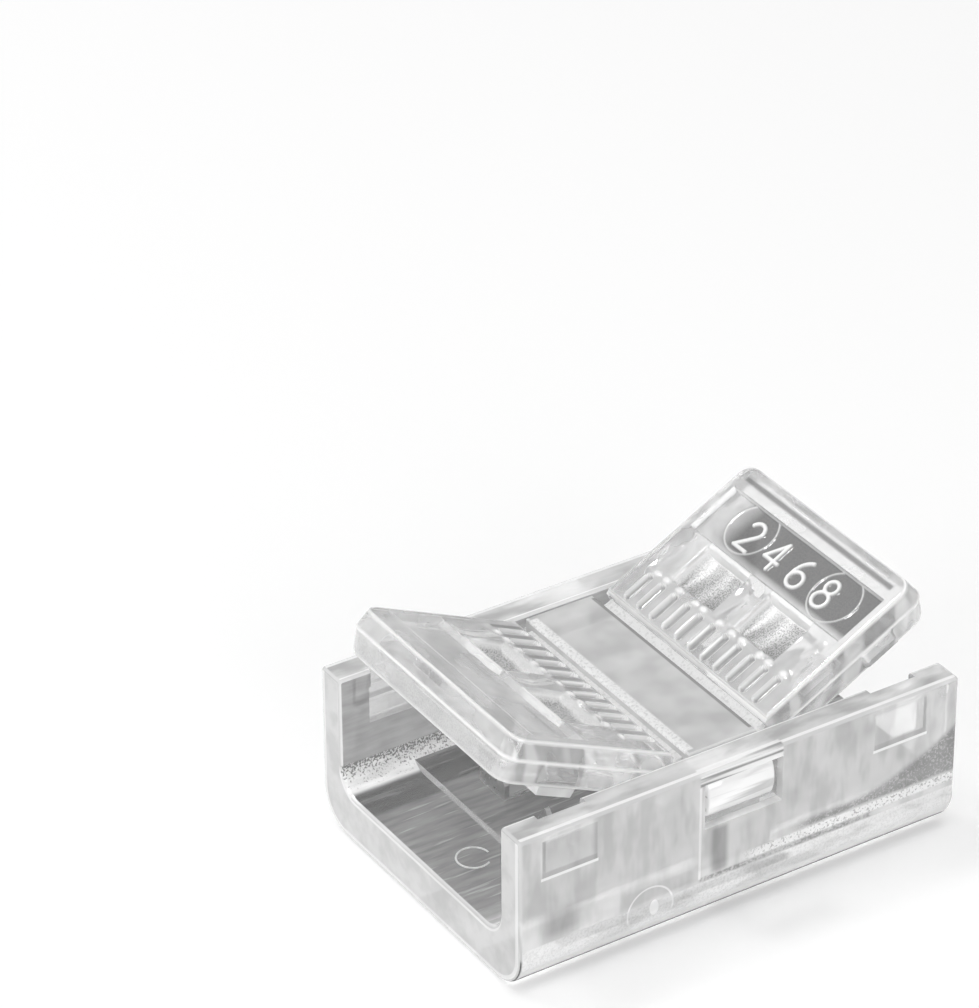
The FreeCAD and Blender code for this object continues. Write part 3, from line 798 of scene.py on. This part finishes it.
def make_film(side, material):
    """A web that is thinnest over the hinge line and curves up to the flap's open angle."""
    sign = 1 if side == "right" else -1
    turn = math.radians(OPEN_ANGLE[side])
    start, end = np.array([-FILM_BACK, 0.0]), FILM_REACH * np.array([math.cos(turn), math.sin(turn)])
    across = np.linspace(-FILM_HALF, FILM_HALF, FILM_POINTS)
    points = []
    for i in range(FILM_STEPS + 1):
        t = i / FILM_STEPS
        centre = (1 - t) ** 2 * start + t ** 2 * end
        slope = 2 * (1 - t) * -start + 2 * t * end
        normal = np.array([-slope[1], slope[0]]) / np.hypot(*slope)
        thick = FILM_THICK / 2 * (0.72 + 0.28 * (2 * t - 1) ** 2)
        for face in (1, -1):
            u, v = centre + face * thick * normal
            points += [(sign * (HINGE_X + u), y, HINGE_Z + v) for y in across]
    faces = film_faces(FILM_STEPS, FILM_POINTS)
    piece = make_piece(side + "_hinge_web", points, reversed_faces(faces) if sign > 0 else faces, material)
    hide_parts(side + "_hinge_film")
    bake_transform(piece)


# lug faces and the floor's ejector mark

LUG_STATIONS = [(-1.42, 0.80), (-1.40, 0.93), (-1.34, 1.0), (1.34, 1.0), (1.40, 0.93), (1.42, 0.80)]
LUG_BACK, LUG_REACH, LUG_Z, LUG_TALL, LUG_SQUARE = 5.75, 0.64, 5.10, 0.80, 0.55


def make_lug_face(name, sign, material):
    """The rounded front of a latch lug, which fills its window in the side wall."""
    turns = np.radians(np.linspace(90, -90, 19))
    points = []
    for x, share in LUG_STATIONS:
        for turn in turns:
            out, up = max(math.cos(turn), 0.0) ** LUG_SQUARE, math.sin(turn)
            points.append((x, sign * (LUG_BACK + LUG_REACH * share * out), LUG_Z + LUG_TALL * share * up))
    faces = tube_faces(len(LUG_STATIONS), len(turns))
    piece = make_piece(name, points, reversed_faces(faces) if sign < 0 else faces, material, 60)
    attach(piece, "housing")


def make_tube(name, path, radius, material, sides=10):
    """A closed thin tube along a path, in millimetres."""
    path = np.asarray(path, float)
    points, count = [], len(path)
    for i in range(count):
        along = path[min(i + 1, count - 1)] - path[max(i - 1, 0)]
        along /= np.linalg.norm(along)
        first = np.cross(along, (0.3, 0.5, 0.8))
        first /= np.linalg.norm(first)
        second = np.cross(along, first)
        for k in range(sides):
            a = 2 * math.pi * k / sides
            points.append(path[i] + radius * (math.cos(a) * first + math.sin(a) * second))
    piece = make_piece(name, points, tube_faces(count, sides), material)
    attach(piece, "housing")


def make_marks(material):
    """The ring that an ejector pin leaves on the channel floor."""
    ring = [(-7.6 + u, -0.9 + v, SLAB_TOP) for u, v in arc((0, 0), 0.62, 0.62, 0, 300, 36)]
    make_tube("floor_ejector_mark", ring, 0.04, material)


# studio, in metres

FLOOR_HALF, FLOOR_Z = 0.6, -0.00003
PAPER, GLOW = 0.8, 0.2
LAMPS = [
    ("left_box", (-0.3, -0.02, 0.12), 0.16, 0.25),
    ("front_box", (-0.05, -0.3, 0.12), 0.16, 0.36),
    ("key_box", (-0.08, 0.12, 0.3), 0.05, 0.34),
]


def add_lamp(name, place, side, strength):
    data = bpy.data.lights.new(name, "AREA")
    data.shape = "RECTANGLE"
    data.size = data.size_y = side
    data.energy = strength
    lamp = bpy.data.objects.new(name, data)
    lamp.location = place
    lamp.rotation_mode = "QUATERNION"
    lamp.rotation_quaternion = (-Vector(place)).to_track_quat("-Z", "Y")
    bpy.context.scene.collection.objects.link(lamp)


def make_world():
    """White to the camera. Everything else sees a studio that is bright overhead and dim at the sides."""
    world = bpy.data.worlds.new("studio")
    bpy.context.scene.world = world
    world.use_nodes = True
    tree = world.node_tree
    tree.nodes.clear()
    height = split(tree, add(tree, "ShaderNodeTexCoord").outputs["Generated"])[2]
    dim = add(tree, "ShaderNodeBackground")
    tree.links.new(grey(tree, ramp(tree, height, 0.0, 0.6, 0.32, 0.56)), dim.inputs["Color"])
    white = add(tree, "ShaderNodeBackground")
    white.inputs["Color"].default_value = (1, 1, 1, 1)
    mix = add(tree, "ShaderNodeMixShader")
    tree.links.new(add(tree, "ShaderNodeLightPath").outputs["Is Camera Ray"], mix.inputs[0])
    tree.links.new(dim.outputs[0], mix.inputs[1])
    tree.links.new(white.outputs[0], mix.inputs[2])
    tree.links.new(mix.outputs[0], add(tree, "ShaderNodeOutputWorld").inputs["Surface"])


def make_floor():
    """White paper. A fifth is its glow to the camera, gloss and clear plastic, and lamps light the rest."""
    mesh = bpy.data.meshes.new("floor")
    half = FLOOR_HALF
    mesh.from_pydata([(-half, -half, 0), (half, -half, 0), (half, half, 0), (-half, half, 0)], [], [(0, 1, 2, 3)])
    floor = bpy.data.objects.new("floor", mesh)
    floor.location.z = FLOOR_Z
    bpy.context.scene.collection.objects.link(floor)
    material, tree = new_material("white_floor")
    paper = add(tree, "ShaderNodeBsdfDiffuse")
    paper.inputs["Color"].default_value = (PAPER, PAPER, PAPER, 1)
    glow = add(tree, "ShaderNodeEmission")
    path = add(tree, "ShaderNodeLightPath")
    seen = either(tree, *(path.outputs[ray] for ray in ("Is Camera Ray", "Is Glossy Ray", "Is Transmission Ray")))
    tree.links.new(calc(tree, "MULTIPLY", seen, GLOW), glow.inputs["Strength"])
    total = add(tree, "ShaderNodeAddShader")
    tree.links.new(paper.outputs[0], total.inputs[0])
    tree.links.new(glow.outputs[0], total.inputs[1])
    tree.links.new(total.outputs[0], add(tree, "ShaderNodeOutputMaterial").inputs["Surface"])
    mesh.materials.append(material)


make_camera()
make_world()
make_floor()
for lamp in LAMPS:
    add_lamp(*lamp)

dress("base_tray", tray_material())
cover_clear = cover_material()
for node in ("bridge_cover", "left_flap", "right_flap", "left_hinge_film", "right_hinge_film"):
    dress(node, cover_clear)
tinned = metal_material()
for node in ("near_contact_strip", "far_contact_strip"):
    dress(node, tinned)
flap_clear = flap_material()
frosted_film = film_material()
for side in ("left", "right"):
    make_flap(side, flap_clear)
    make_film(side, frosted_film)
make_marks(frosted_film)
make_lug_face("near_lug_face", -1, cover_clear)
make_lug_face("far_lug_face", 1, cover_clear)

bpy.context.scene.view_settings.view_transform = "Standard"
